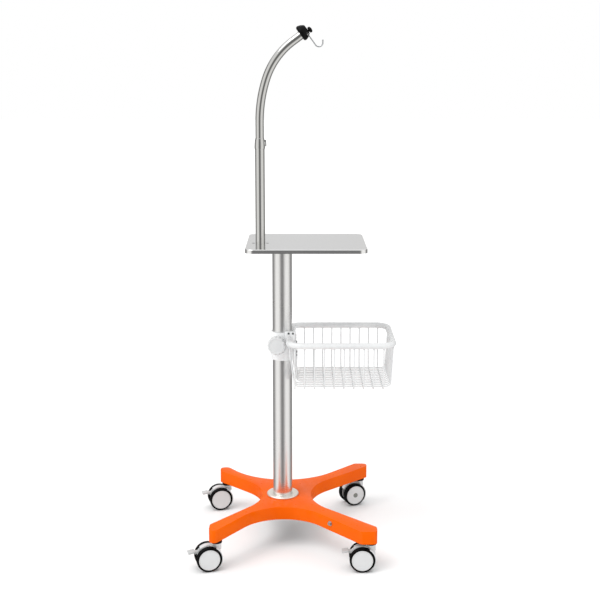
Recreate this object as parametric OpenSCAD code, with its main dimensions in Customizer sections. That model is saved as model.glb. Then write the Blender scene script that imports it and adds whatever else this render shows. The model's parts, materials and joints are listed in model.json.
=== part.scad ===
// Wheeled roll stand with a shelf, a wire basket and a telescopic hook arm.
// Millimetres, +Z up, origin on the floor at the centre of the footprint box.

/* [Column] */
// Outer diameter of the column tube
column_d = 60; // [50:1:70]
// Wall of the column tube
column_wall = 2; // [1.5:0.5:4]
// Outer diameter of the foot flange
flange_d = 100; // [90:1:106]
// Thickness of the foot flange
flange_t = 6; // [4:1:10]

/* [Base] */
// Height of the base casting's top face
base_top = 130; // [128:1:140]
// Height of the base casting
base_h = 39; // [36:1:39]
// Wall of the base casting
base_wall = 4; // [3:0.5:5]
// Reach of the left legs from the column axis
leg_left = 212; // [208:1:220]
// Reach of the right legs from the column axis
leg_right = 280; // [276:1:290]
// Rounding of the leg tips seen from above
leg_round = 14; // [6:1:16]

/* [Casters] */
// Wheel diameter
wheel_d = 75; // [72:1:75]
// Distance from the swivel axis to the axle
trail = 26; // [24:1:28]
// Outer width of a pair of wheels
twin_w = 60; // [56:1:64]
// Resting swivel angle of the two left casters
left_swivel = 15; // [0:1:30]
// Resting swivel angle of the rear right caster
loose_swivel = 22; // [0:1:40]

/* [Shelf] */
// Width of the shelf
tray_w = 356; // [320:1:380]
// Depth of the shelf
tray_d = 316; // [280:1:330]
// Height of the shelf's top face
tray_top = 940; // [900:5:1000]
// Corner radius of the shelf
tray_corner = 24; // [15:1:40]
// Depth of the turned-down rim
tray_rim = 12; // [10:1:14]

/* [Arm] */
// Outer diameter of the fixed lower tube
lower_tube_d = 28.5; // [28:0.5:29]
// Outer diameter of the telescopic upper tube
upper_tube_d = 24.8; // [24:0.2:25]
// Length of the lower tube above the shelf
lower_tube_l = 296; // [260:1:330]
// Angle of the tube's end from the vertical
arm_bend = 54; // [45:1:60]

/* [Basket] */
// Outer width of the basket rim
basket_w = 330; // [300:1:340]
// Outer depth of the basket rim
basket_d = 290; // [250:1:290]
// Height from the basket floor to the rim's centre
basket_h = 136; // [120:1:150]
// Height of the rim's centre above the floor
basket_z = 646; // [600:1:700]
// Diameter of the rim tube
rim_d = 18; // [14:1:18]
// Diameter of the wires
wire_d = 4; // [3:0.5:4]
// Wires that run from front to back
wires_across = 10; // [8:1:12]
// Wires that run from left to right
wires_along = 12; // [9:1:13]

/* [Hidden] */
$fn = 96;
gap = 0.3;
run_fit = 0.05;

// leg tips: y of each leg's end face, from the column axis
tip_front_left = -287;
tip_front_right = -290;
tip_back_left = 234;
tip_back_right = 270;
// each bay between two legs: circle centre, radius, and the angles where the arc
// turns into the two straight leg edges
bay_front = [5, -254, 145, 42, 145];
bay_left = [-214, -5, 150, -40, 46];
bay_right = [248, -1, 160, 132, 226];
bay_back = [5, 332, 210, 218, 315];
bays = [bay_front, bay_left, bay_right, bay_back];
base_bottom = base_top - base_h;
cavity_top = base_top - base_wall;
cover_t = 3;

// casters: swivel axis, resting angle, braked or not
wheel_r = wheel_d / 2;
stem_r = 6;
spigot_r = 3.5;
axle_r = 4;
casters = [
    ["fl", [-192, -247], left_swivel, true],
    ["fr", [263, -257], 0, true],
    ["bl", [-190, 210], left_swivel, true],
    ["br", [255, 252], loose_swivel, false]];
pedal_reach = 86;
pedal_w = 22;
tyre_w = 18.5;
tyre_wall = 6.2;
web_t = 17;
hood_t = 2.2;
hood_r = wheel_r + 0.8 + hood_t;
hood_w = twin_w - 8;

// arm: a straight tube, a wide bend, a tighter bend and a straight end
arm_at = [-64, -45];
bend_from = 1300;
wide_r = 400;
wide_angle = 18;
tight_r = 215;
tight_angle = arm_bend - wide_angle;
lower_r = lower_tube_d / 2;
lower_in = lower_r - 1;
upper_r = upper_tube_d / 2;
upper_in = upper_r - 1.2;
upper_from = 1000;
collar_z = tray_top + lower_tube_l - 16;
collar_h = 32;
wide_end = [wide_r * (1 - cos(wide_angle)), wide_r * sin(wide_angle)];
bend_end = [arm_at[0] + wide_end[0] + tight_r * (cos(wide_angle) - cos(arm_bend)),
            bend_from + wide_end[1] + tight_r * (sin(arm_bend) - sin(wide_angle))];
tube_end = 42;
cap_from = 28;
cap_len = 26;
cap_off = -3.5;
knob_off = 2.5;
slot_mid = 19;
slot_h = 4.4;

// shelf
tray_at = [72.5, -10];
sheet = 1.5;
foot_screw_x = 20.5;

// basket and clamp
rim_r = rim_d / 2;
wire_r = wire_d / 2;
basket_left = 12;
plate_x = 40.3;
plate_t = 3;
rim_corner = 40;
wire_bend = 14;
wall_lean = 6;
rim_x = [basket_left + rim_r, basket_left + basket_w - rim_r];
rim_y = basket_d / 2 - rim_r;
floor_z = basket_z - basket_h;
clamp_z = 574;
clamp_h = 92;
liner_r = 31.6;
clamp_r = 35;
knob_turn = -107;
knob_z = 626;
clamp_knob_r = 29.5;
clamp_knob_h = 17;

// footprint box, which the origin is centred on; a point of a caster turned by its
// resting angle is at turn_x, turn_y from the swivel axis
function turn_x(a, x, y) = x * cos(a) - y * sin(a);
function turn_y(a, x, y) = x * sin(a) + y * cos(a);
tread_x = wheel_r - 2.6;
tread_y = twin_w / 2 - 1;
x_low = casters[0][1][0] + turn_x(left_swivel, -pedal_reach, pedal_w / 2);
x_high = basket_left + basket_w;
y_low = min(tip_front_right,
            casters[0][1][1] + turn_y(left_swivel, -trail - tread_x, -tread_y));
y_high = casters[3][1][1] + max(turn_y(loose_swivel, hood_r - trail, hood_w / 2),
                                turn_y(loose_swivel, tread_x - trail, tread_y));
centre = [-(x_low + x_high) / 2, -(y_low + y_high) / 2, 0];

steel = "#b9bbbd";
orange = "#f4641e";
white = "#e8e8e8";
grey = "#c9cbcc";
black = "#161616";

module place() {
    translate(centre) children();
}

module ring(r_out, r_in, h) {
    difference() {
        cylinder(r = r_out, h = h);
        translate([0, 0, -1]) cylinder(r = r_in, h = h + 2);
    }
}

module hex(flats, h) {
    cylinder(r = flats / 2 / cos(30), h = h, $fn = 6);
}

module slab(w, d, h, r) {
    linear_extrude(h) square_rounded(w, d, r);
}

module square_rounded(w, d, r) {
    square([w - 2 * r, d], center = true);
    square([w, d - 2 * r], center = true);
    for (x = [-1, 1])
        for (y = [-1, 1])
            translate([x * (w / 2 - r), y * (d / 2 - r)]) circle(r);
}

// ---- base ----

module bay(b) {
    reach = 400;
    c = [b[0], b[1]];
    n1 = [cos(b[3]), sin(b[3])];
    n2 = [cos(b[4]), sin(b[4])];
    t1 = c + b[2] * n1;
    t2 = c + b[2] * n2;
    translate(c) circle(b[2], $fn = 96);
    polygon([c, t1, t1 + reach * [n1[1], -n1[0]], t2 + reach * [-n2[1], n2[0]], t2]);
}

module leg_cross() {
    difference() {
        polygon([[-leg_left, tip_front_left], [0, tip_front_left], [0, tip_front_right],
                 [leg_right, tip_front_right], [leg_right, tip_back_right], [0, tip_back_right],
                 [0, tip_back_left], [-leg_left, tip_back_left]]);
        for (b = bays) bay(b);
    }
}

module base_outline(inset) {
    offset(r = leg_round - inset, $fn = 32) offset(delta = -leg_round) leg_cross();
}

module at_stems() {
    for (c = casters) translate([c[1][0], c[1][1], 0]) children();
}

module at_cover_posts() {
    for (c = casters) translate([c[1][0] * 0.78, c[1][1] * 0.78, 0]) children();
}

module at_column_bolts() {
    for (a = [45:90:315]) rotate(a) translate([40, 0, 0]) children();
}

module base_shell() {
    post_r = 5;
    boss_r = 12;
    color(orange) place() difference() {
        union() {
            difference() {
                translate([0, 0, base_bottom]) linear_extrude(base_h) base_outline(0);
                translate([0, 0, base_bottom - 1])
                    linear_extrude(base_h - base_wall + 1) base_outline(base_wall);
            }
            at_stems() translate([0, 0, base_bottom + cover_t + 0.5])
                cylinder(r = boss_r, h = base_h - cover_t - 1);
            at_cover_posts() translate([0, 0, base_bottom + cover_t + 0.1])
                cylinder(r = post_r, h = base_h - cover_t - 1);
        }
        at_stems() translate([0, 0, base_bottom - 1]) cylinder(r = stem_r + run_fit, h = base_h - 7);
        at_cover_posts() translate([0, 0, base_bottom - 1]) cylinder(r = 1.6, h = 25);
        at_column_bolts() translate([0, 0, cavity_top - 1]) cylinder(r = 4.3, h = base_wall + 2);
        ground_screw_axis() cylinder(r = 3.05, h = 24, center = true);
    }
}

module base_cover() {
    color(black) place() difference() {
        translate([0, 0, base_bottom]) linear_extrude(cover_t) base_outline(base_wall + gap);
        at_stems() translate([0, 0, base_bottom - 1]) cylinder(r = stem_r + 1, h = cover_t + 2);
        at_cover_posts() translate([0, 0, base_bottom - 1]) cylinder(r = 2.2, h = cover_t + 2);
    }
}

module cover_screws() {
    color(steel) place() at_cover_posts() {
        difference() {
            translate([0, 0, base_bottom - 2.2]) cylinder(r = 3.6, h = 2.15);
            translate([0, 0, base_bottom - 2.3]) cylinder(r = 1.5, h = 1.2, $fn = 6);
        }
        translate([0, 0, base_bottom - 0.1]) cylinder(r = 1.55, h = 18);
    }
}

module ground_screw_axis() {
    wall_at = 48;
    a = bay_front[3];
    foot = [bay_front[0] + bay_front[2] * cos(a), bay_front[1] + bay_front[2] * sin(a)];
    along = [sin(a), -cos(a)];
    p = foot + wall_at * along;
    translate([p[0], p[1], base_bottom + 23]) rotate([0, 0, a]) rotate([0, -90, 0]) children();
}

module ground_screw() {
    color(steel) place() ground_screw_axis() difference() {
        union() {
            translate([0, 0, -12]) cylinder(r = 3, h = 13);
            translate([0, 0, 0.05]) cylinder(r = 7.5, h = 1.4);
            translate([0, 0, 1.4]) cylinder(r = 5, h = 4.6);
        }
        translate([0, 0, 3.5]) cylinder(r = 2.6, h = 4, $fn = 6);
    }
}

// ---- column ----

module column_plate() {
    color(steel) place() translate([0, 0, cavity_top - 6.05]) difference() {
        slab(100, 110, 6, 6);
        at_column_bolts() translate([0, 0, -1]) cylinder(r = 4.3, h = 8);
        translate([0, 0, -1]) cylinder(r = 12, h = 8);
    }
}

module column_flange() {
    color(steel) place() translate([0, 0, base_top + 0.02]) difference() {
        union() {
            cylinder(r = flange_d / 2, h = flange_t - 2);
            translate([0, 0, flange_t - 2]) cylinder(r1 = flange_d / 2, r2 = flange_d / 2 - 2, h = 2);
        }
        translate([0, 0, -1]) cylinder(r = column_d / 2 + run_fit, h = flange_t + 2);
        at_column_bolts() translate([0, 0, -1]) cylinder(r = 4.05, h = flange_t);
    }
}

module column_bolts() {
    head_z = cavity_top - 6.1;
    color(steel) place() at_column_bolts() {
        translate([0, 0, head_z - 5]) hex(13, 5);
        translate([0, 0, head_z - 0.1]) cylinder(r = 4, h = 6 + base_wall + flange_t - 1.5);
    }
}

module column_tube() {
    top = tray_top - sheet - 5.1;
    color(steel) place() translate([0, 0, base_top + 0.05])
        ring(column_d / 2, column_d / 2 - column_wall, top - base_top - 0.05);
}

// ---- shelf ----

module at_tray_studs() {
    for (p = [[-20, -45], [55, -42], [55, 42], [-55, 42]]) translate([p[0], p[1], 0]) children();
}

module tray_bracket() {
    color(steel) place() translate([0, 0, tray_top - sheet - 5.05]) difference() {
        slab(140, 110, 5, 8);
        at_tray_studs() translate([0, 0, -1]) cylinder(r = 3.3, h = 7);
        translate([arm_at[0], arm_at[1], -1]) cylinder(r = 34, h = 7);
    }
}

module tray_nuts() {
    color(steel) place() at_tray_studs() {
        translate([0, 0, tray_top - sheet - 5.1 - 5]) hex(10, 4.95);
        translate([0, 0, tray_top - sheet - 13]) cylinder(r = 3, h = 12.95);
    }
}

module tray() {
    edge_r = 3;
    color(steel) place() difference() {
        translate([tray_at[0], tray_at[1], 0]) difference() {
            union() {
                translate([0, 0, tray_top - tray_rim])
                    slab(tray_w, tray_d, tray_rim - edge_r, tray_corner);
                translate([0, 0, tray_top - edge_r]) linear_extrude(edge_r)
                    square_rounded(tray_w - 2 * edge_r, tray_d - 2 * edge_r, tray_corner - edge_r);
                tray_edge(edge_r);
            }
            translate([0, 0, tray_top - tray_rim - 1])
                slab(tray_w - 2 * sheet, tray_d - 2 * sheet, tray_rim + 1 - edge_r, tray_corner - sheet);
            translate([0, 0, tray_top - edge_r - 1])
                slab(tray_w - 2 * edge_r, tray_d - 2 * edge_r, edge_r + 1 - sheet, tray_corner - edge_r);
        }
        translate([arm_at[0], arm_at[1], tray_top - 10]) cylinder(r = lower_r + 0.15, h = 20);
        for (s = [-1, 1]) translate([arm_at[0] + s * foot_screw_x, arm_at[1], tray_top - sheet - 1])
            cylinder(r = 5.1, h = 5);
    }
}

// rounded upper edge: quarter rounds at the corners and along the sides
module tray_edge(r) {
    w = tray_w / 2 - tray_corner;
    d = tray_d / 2 - tray_corner;
    z = tray_top - r;
    for (i = [0:3]) {
        corner = [[w, d], [-w, d], [-w, -d], [w, -d]][i];
        translate([corner[0], corner[1], z]) rotate(90 * i) rotate_extrude(angle = 90)
            translate([tray_corner - r, 0]) quarter(r);
    }
    for (s = [0, 1]) rotate(180 * s) {
        translate([tray_w / 2 - r, d, z]) rotate([90, 0, 0]) linear_extrude(2 * d) quarter(r);
        translate([-w, tray_d / 2 - r, z]) rotate([90, 0, 90]) linear_extrude(2 * w) quarter(r);
    }
}

module quarter(r) {
    intersection() {
        circle(r, $fn = 32);
        square(r);
    }
}

// ---- arm ----

module at_arm() {
    translate([arm_at[0], arm_at[1], 0]) children();
}

module arm_foot() {
    t = 4;
    color(steel) place() at_arm() translate([0, 0, tray_top - sheet - t - 0.05]) difference() {
        slab(54, 38, t, 8);
        translate([0, 0, -1]) cylinder(r = lower_r + run_fit, h = t + 2);
        for (s = [-1, 1]) translate([s * foot_screw_x, 0, -1]) cylinder(r = 2.6, h = t + 2);
    }
}

module arm_foot_screws() {
    head_t = 1.3;
    color("#4a4d50") place() at_arm() for (s = [-1, 1]) translate([s * foot_screw_x, 0, tray_top]) {
        difference() {
            translate([0, 0, -0.1 - head_t]) cylinder(r = 4.9, h = head_t);
            translate([0, 0, -0.9]) cylinder(r = 1.8, h = 2, $fn = 6);
        }
        translate([0, 0, -9]) cylinder(r = 2.5, h = 9 - head_t);
        translate([0, 0, -10]) hex(8, 4);
    }
}

module arm_lower_tube() {
    low = tray_top - 10;
    color(steel) place() at_arm() translate([0, 0, low])
        ring(lower_r, lower_in, lower_tube_l + 10);
}

module collar_outline() {
    polygon([[lower_r + run_fit, 0], [lower_r + 0.5, 0], [lower_r + 1.3, 3], [lower_r + 1.3, 8],
             [lower_r + 0.4, 22], [lower_r - 0.5, 28], [upper_r + 0.7, collar_h],
             [upper_r + 0.5, collar_h], [upper_r + 0.5, collar_h - 1],
             [lower_r - 0.9, collar_h - 2], [lower_r - 0.9, 16.2], [lower_r + run_fit, 16.2]]);
}

lever_pin = [lower_r + 2.3, 24.5];
lever_eye_r = 1.9;

module arm_collar() {
    color(steel) place() at_arm() translate([0, 0, collar_z]) {
        difference() {
            rotate_extrude() collar_outline();
            translate([lower_r - 0.2, -4.3, 16.4]) cube([10, 8.6, 20]);
        }
        for (s = [-1, 1]) translate([lower_r - 1, s * 5.4 - 1, lever_pin[1] - 2.4])
            cube([5.4, 2, 4.8]);
        translate([lever_pin[0], 0, lever_pin[1]]) rotate([90, 0, 0])
            cylinder(r = 1, h = 10.8, center = true);
    }
}

module collar_lever() {
    color(steel) place() at_arm() translate([0, 0, collar_z]) difference() {
        rotate([90, 0, 0]) linear_extrude(8, center = true) polygon(concat(
            [for (a = [0:10:180]) lever_pin + lever_eye_r * [cos(a), sin(a)]],
            [[lower_r + 1.9, 14], [lower_r + 1.9, 8], [lower_r + 4.4, 9], [lower_r + 5.4, 12]]));
        translate([lever_pin[0], 0, lever_pin[1]]) rotate([90, 0, 0])
            cylinder(r = 1 + run_fit, h = 20, center = true);
    }
}

module arm_bush() {
    color(black) place() at_arm() translate([0, 0, collar_z + 16.5])
        ring(lower_r - 1.2, upper_r + run_fit, collar_h - 19);
}

// a stretch of bent tube in the X-Z plane, round the centre c
module bent_tube(c, r, from, angle) {
    translate([c[0], arm_at[1], c[1]]) rotate([90, 0, 0]) rotate(from)
        rotate_extrude(angle = angle, $fn = 180) translate([r, 0]) difference() {
            circle(upper_r, $fn = 64);
            circle(upper_in, $fn = 64);
        }
}

// local frame at the end of the bends: +Z along the tube's end, +X points down and out
module at_arm_end(s) {
    translate([bend_end[0], arm_at[1], bend_end[1]]) rotate([0, arm_bend, 0])
        translate([0, 0, s]) children();
}

// short seam ring that joins two stretches of the bent tube
module seam() {
    translate([0, 0, -0.5]) ring(upper_r + 0.03, upper_in - 0.03, 1);
}

module arm_upper_tube() {
    tight_c = [arm_at[0] + wide_end[0] + tight_r * cos(wide_angle),
               bend_from + wide_end[1] - tight_r * sin(wide_angle)];
    color(steel) place() {
        at_arm() translate([0, 0, upper_from]) ring(upper_r, upper_in, bend_from - upper_from);
        at_arm() translate([0, 0, bend_from]) seam();
        bent_tube([arm_at[0] + wide_r, bend_from], wide_r, 180 - wide_angle, wide_angle);
        translate([arm_at[0] + wide_end[0], arm_at[1], bend_from + wide_end[1]])
            rotate([0, wide_angle, 0]) seam();
        bent_tube(tight_c, tight_r, 180 - arm_bend, tight_angle);
        at_arm_end(0) seam();
        at_arm_end(0) ring(upper_r, upper_in, tube_end);
    }
}

// cap with a slot on its lower side, in which the hook's eye turns round the knob's shank
module arm_cap() {
    r = 23.5;
    color(black) place() at_arm_end(cap_from) difference() {
        translate([cap_off, 0, 0]) rotate_extrude()
            polygon([[0, 0.5], [r - 5, 0], [r - 1.5, 1.5], [r, 5], [r - 0.4, 9], [r - 2.6, 15],
                     [r - 6.2, 21], [r - 9, 24.5], [r - 13, cap_len - 0.5], [0, cap_len]]);
        translate([0, 0, -5]) cylinder(r = upper_r + run_fit, h = tube_end - cap_from + 5.05);
        translate([knob_off, 0, slot_mid - 4]) cylinder(r = 3.05, h = 20);
        translate([knob_off, 0, slot_mid - slot_h / 2]) linear_extrude(slot_h)
            polygon([[-7.4, -7.4], [0, -7.4], [7, -34], [34, -34], [34, 34], [7, 34], [0, 7.4], [-7.4, 7.4]]);
    }
}

module cap_knob() {
    shank = cap_len - slot_mid + 3.5;
    color(black) place() at_arm_end(cap_from + cap_len) translate([knob_off, 0, 0]) {
        translate([0, 0, -shank]) cylinder(r = 3, h = shank + 1);
        translate([0, 0, 0.3]) rotate_extrude()
            polygon([[0, 0], [6, 0], [8.6, 1.6], [9.5, 4.2], [9.2, 6.6], [7.4, 8.8], [4, 10], [0, 10.4]]);
    }
}

// hook: an eye round the knob's shank, a straight leg, a bend and a short straight end
hook_wire = 1.8;
hook_leg = 45;
hook_turn_r = 11.5;
hook_turn = 144;
hook_tail = 7;
hook_eye_r = 5;

module cable_hook() {
    color(steel) place() at_arm_end(cap_from + slot_mid) translate([knob_off, 0, 0]) {
        rotate_extrude() translate([hook_eye_r, 0]) circle(hook_wire, $fn = 24);
        rotate([0, 90, 0]) translate([0, 0, hook_eye_r])
            cylinder(r = hook_wire, h = hook_leg - hook_eye_r, $fn = 24);
        translate([hook_leg, 0, hook_turn_r]) rotate([90, 0, 0]) {
            rotate(-90) rotate_extrude(angle = hook_turn) translate([hook_turn_r, 0])
                circle(hook_wire, $fn = 24);
            rotate(hook_turn - 90) translate([hook_turn_r, -0.6, 0]) rotate([-90, 0, 0])
                cylinder(r = hook_wire + 0.05, h = hook_tail + 0.6, $fn = 24);
            rotate(hook_turn - 90) translate([hook_turn_r, hook_tail, 0])
                sphere(r = hook_wire + 0.4, $fn = 24);
        }
    }
}

// ---- basket clamp ----

module clamp_liner() {
    color(grey) place() translate([0, 0, clamp_z + 1])
        ring(liner_r, column_d / 2 + run_fit, clamp_h - 7);
}

module clamp_body() {
    plate_end = plate_x - 0.1;
    color(white) place() difference() {
        union() {
            translate([0, 0, clamp_z]) cylinder(r = clamp_r, h = clamp_h - 5);
            translate([20, -31, clamp_z]) cube([plate_end - 20, 62, clamp_h - 26]);
            for (s = [-1, 1]) translate([24.5, s * 38, clamp_z + clamp_h - 30])
                linear_extrude(30) square_rounded(31, 16, 3);
            rotate(knob_turn) translate([30, 0, knob_z]) rotate([0, 90, 0]) cylinder(r = 19, h = 15);
        }
        translate([0, 0, clamp_z - 1]) cylinder(r = liner_r + run_fit, h = clamp_h + 2);
        rotate(knob_turn) translate([20, 0, knob_z]) rotate([0, 90, 0]) cylinder(r = 4.1, h = 40);
        for (s = [-1, 1]) translate([rim_x[0], s * 45.5, basket_z]) rotate([90, 0, 0])
            cylinder(r = rim_r + 0.04, h = 21, center = true);
        at_plate_screws() translate([-20, 0, 0]) rotate([0, 90, 0]) cylinder(r = 2, h = 40);
        at_ear_screws() rotate([90, 0, 0]) cylinder(r = 1.5, h = 16, center = true);
    }
}

module at_plate_screws() {
    for (y = [-20, 20])
        for (z = [clamp_z + 14, clamp_z + 46]) translate([plate_x + plate_t, y, z]) children();
}

module at_ear_screws() {
    for (x = [20, 33]) translate([x, -46, clamp_z + clamp_h - 3.6]) children();
}

module clamp_screws() {
    color("#55585a") place() {
        at_plate_screws() rotate([0, 90, 0]) {
            translate([0, 0, -9]) cylinder(r = 1.9, h = 9.2);
            translate([0, 0, 0.05]) cylinder(r = 3.6, h = 2.4);
        }
        at_ear_screws() rotate([90, 0, 0]) {
            translate([0, 0, -6.5]) cylinder(r = 1.4, h = 7);
            translate([0, 0, 0.05]) cylinder(r = 2.8, h = 1.6);
        }
    }
}

module clamp_knob() {
    flutes = 14;
    r = clamp_knob_r;
    h = clamp_knob_h;
    color(white) place() rotate(knob_turn) translate([45.5, 0, knob_z]) rotate([0, 90, 0]) {
        difference() {
            union() {
                cylinder(r = r - 1.5, h = h);
                translate([0, 0, 1.5]) cylinder(r = r, h = h - 4);
            }
            for (i = [0:flutes - 1]) rotate(i * 360 / flutes) translate([r + 2.2, 0, -1])
                cylinder(r = 4.8, h = h + 2, $fn = 32);
        }
        translate([0, 0, -12.6]) cylinder(r = 4, h = 13);
    }
}

// ---- basket ----

module rim_side(length) {
    rotate([0, 90, 0]) cylinder(r = rim_r, h = length, center = true, $fn = 48);
}

// the rim is an open loop: its two ends plug into the sockets of the clamp
module basket_rim() {
    w = rim_x[1] - rim_x[0];
    side = rim_y - rim_corner;
    end_y = 35.5;
    color(white) place() translate([(rim_x[0] + rim_x[1]) / 2, 0, basket_z]) {
        for (s = [-1, 1]) {
            translate([0, s * rim_y, 0]) rim_side(w - 2 * rim_corner);
            translate([-w / 2, s * (side + end_y) / 2, 0]) rotate(90) rim_side(side - end_y);
        }
        translate([w / 2, 0, 0]) rotate(90) rim_side(2 * side);
        for (i = [0:3]) {
            sx = [1, -1, -1, 1][i];
            sy = [1, 1, -1, -1][i];
            translate([sx * (w / 2 - rim_corner), sy * side, 0]) rotate(90 * i)
                rotate_extrude(angle = 90) translate([rim_corner, 0]) circle(rim_r, $fn = 48);
        }
    }
}

// one wall wire: it leaves its foot's elbow and leans outwards (to -X) on the way up
module wall_wire(low, top, lean) {
    straight_from = low + wire_bend;
    tilt = atan2(lean, top - straight_from);
    translate([0, 0, straight_from]) rotate([0, -tilt, 0])
        cylinder(r = wire_r, h = (top - straight_from) / cos(tilt), $fn = 24);
    translate([0, 0, straight_from]) sphere(r = wire_r + 0.06, $fn = 24);
    translate([wire_bend, 0, straight_from]) rotate([90, 0, 0]) rotate(180)
        rotate_extrude(angle = 90) translate([wire_bend, 0]) circle(wire_r, $fn = 24);
}

weld = 1;
wire_top = basket_z - rim_r + weld;
across_from = rim_x[0] + 18;
across_pitch = (rim_x[1] - 30 - across_from) / (wires_across - 1);
along_from = -(rim_y - 30);
along_pitch = 2 * (rim_y - 30) / (wires_along - 1);
along_z = floor_z + wire_d + 0.1;
foot_left = 36;
foot_mid = 43;
foot_right = rim_x[1] - wall_lean;

// wires next to the clamp hang from its plate, the others from the rim
function beside_clamp(i) = abs(along_from + i * along_pitch) < 50;
function foot_x(i) = beside_clamp(i) ? foot_mid : foot_left;

module front_or_back_wires(side) {
    color(white) place() for (i = [0:wires_across - 1])
        translate([across_from + i * across_pitch, side * (rim_y - wall_lean), 0]) rotate(-side * 90)
            wall_wire(floor_z, wire_top, wall_lean);
}

module basket_front_wires() {
    front_or_back_wires(-1);
}

module basket_back_wires() {
    front_or_back_wires(1);
}

module basket_left_wires() {
    color(white) place() for (i = [0:wires_along - 1]) if (!beside_clamp(i))
        translate([foot_left, along_from + i * along_pitch, 0])
            wall_wire(along_z, wire_top, foot_left - rim_x[0]);
}

module basket_hanger() {
    low = clamp_z + 2;
    high = basket_z - 8;
    color(white) place() {
        difference() {
            translate([plate_x, -50, low]) cube([plate_t, 100, high - low]);
            at_plate_screws() translate([-5, 0, 0]) rotate([0, 90, 0]) cylinder(r = 2, h = 10);
        }
        for (i = [0:wires_along - 1]) if (beside_clamp(i))
            translate([foot_mid, along_from + i * along_pitch, 0]) wall_wire(along_z, low + 12, -1.8);
    }
}

module basket_right_wires() {
    color(white) place() for (i = [0:wires_along - 1])
        translate([foot_right, along_from + i * along_pitch, 0]) rotate(180)
            wall_wire(along_z, wire_top, wall_lean);
}

module basket_floor_wires() {
    inset = wall_lean + wire_bend + 0.1;
    color(white) place() {
        for (i = [0:wires_across - 1]) translate([across_from + i * across_pitch, 0, floor_z])
            rotate([90, 0, 0]) cylinder(r = wire_r, h = 2 * (rim_y - inset), center = true, $fn = 24);
        for (i = [0:wires_along - 1])
            translate([foot_x(i) + wire_bend + 0.1, along_from + i * along_pitch, along_z]) rotate([0, 90, 0])
                cylinder(r = wire_r, h = foot_right - foot_x(i) - 2 * wire_bend - 0.2, $fn = 24);
    }
}

// ---- casters: local frame at the swivel axis on the floor, wheels trailing to -X ----

module at_caster(i) {
    c = casters[i];
    place() translate([c[1][0], c[1][1], 0]) rotate(c[2]) children();
}

module at_axle() {
    translate([-trail, 0, wheel_r]) rotate([90, 0, 0]) children();
}

head_z = 77;
head_top = base_bottom - 2.5;
pedal_pin = [-trail - 30, wheel_r + 17];

module caster_stems() {
    color(steel) for (i = [0:3]) at_caster(i) {
        translate([0, 0, head_z + 1.5]) cylinder(r = stem_r, h = base_top - 9 - head_z - 1.5);
        translate([0, 0, 62]) cylinder(r = spigot_r, h = head_z + 2 - 62);
        translate([0, 0, head_top + 0.3]) cylinder(r = 9, h = base_bottom - head_top - 0.35);
    }
}

module hood_sector(r, from, to) {
    far = 90;
    intersection() {
        circle(r);
        polygon([[0, 0], far * [cos(from), sin(from)], far * [cos((2 * from + to) / 3), sin((2 * from + to) / 3)],
                 far * [cos((from + 2 * to) / 3), sin((from + 2 * to) / 3)], far * [cos(to), sin(to)]]);
    }
}

module caster_housing(i) {
    braked = casters[i][3];
    color(white) at_caster(i) difference() {
        union() {
            at_axle() {
                linear_extrude(web_t, center = true) hood_sector(wheel_r + 1.5, -42, braked ? 128 : 150);
                linear_extrude(web_t, center = true) circle(11);
                linear_extrude(hood_w, center = true) difference() {
                    hood_sector(hood_r, -36, 56);
                    circle(hood_r - hood_t);
                }
                if (braked) linear_extrude(3.4, center = true) hood_sector(wheel_r + 1.5, 120, 157);
            }
            translate([0, 0, head_z - 2]) cylinder(r = 15, h = head_top - head_z + 2);
            translate([0, 0, 50]) cylinder(r = web_t / 2, h = 35);
            translate([0, 0, 60]) linear_extrude(head_z + 1 - 60)
                intersection() {
                    circle(14);
                    translate([0, -web_t / 2]) square([40, web_t]);
                }
            if (braked) translate([pedal_pin[0], 0, pedal_pin[1]]) rotate([90, 0, 0])
                cylinder(r = 2, h = web_t - 3, center = true);
        }
        translate([0, 0, 61]) cylinder(r = spigot_r + run_fit, h = 40);
        translate([0, 0, head_z + 1.4]) cylinder(r = stem_r + run_fit, h = 40);
        at_axle() cylinder(r = axle_r + 0.02, h = 80, center = true);
    }
}

module caster_axle(i) {
    color(steel) at_caster(i) at_axle() cylinder(r = axle_r, h = twin_w - 8, center = true);
}

// tyre and hub are drawn for the near wheel, whose outer face looks to -Y
tyre_out = twin_w / 2 - 1;
tyre_in = tyre_out - tyre_w;

module tyre(i, side) {
    r = wheel_r;
    bead = r - tyre_wall;
    color(black) at_caster(i) at_axle() rotate([side > 0 ? 0 : 180, 0, 0]) rotate_extrude()
        polygon([[bead, tyre_in], [r - 2.6, tyre_in], [r - 0.8, tyre_in + 1.4], [r, tyre_in + 4],
                 [r, tyre_out - 4], [r - 0.8, tyre_out - 1.4], [r - 2.6, tyre_out], [bead, tyre_out]]);
}

module hub(i, side) {
    r = wheel_r - tyre_wall - 0.05;
    inner = tyre_in - 0.8;
    outer = twin_w / 2;
    web = outer - 3;
    capped = !casters[i][3];
    color(grey) at_caster(i) at_axle() rotate([side > 0 ? 0 : 180, 0, 0]) difference() {
        union() {
            rotate_extrude() polygon([[0, inner], [9, inner], [9, web], [r - 3, web], [r - 3, tyre_in + 1],
                                      [r, tyre_in + 1], [r, outer - 1.4], [r - 1, outer - 0.5],
                                      [r - 2.6, outer - 0.5], [r - 3.4, outer - 1], [0, outer - 0.8]]);
            if (capped) translate([0, 0, outer - 1]) cylinder(r = 9, h = 1);
        }
        cylinder(r = axle_r + run_fit, h = outer - 3);
    }
}

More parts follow.
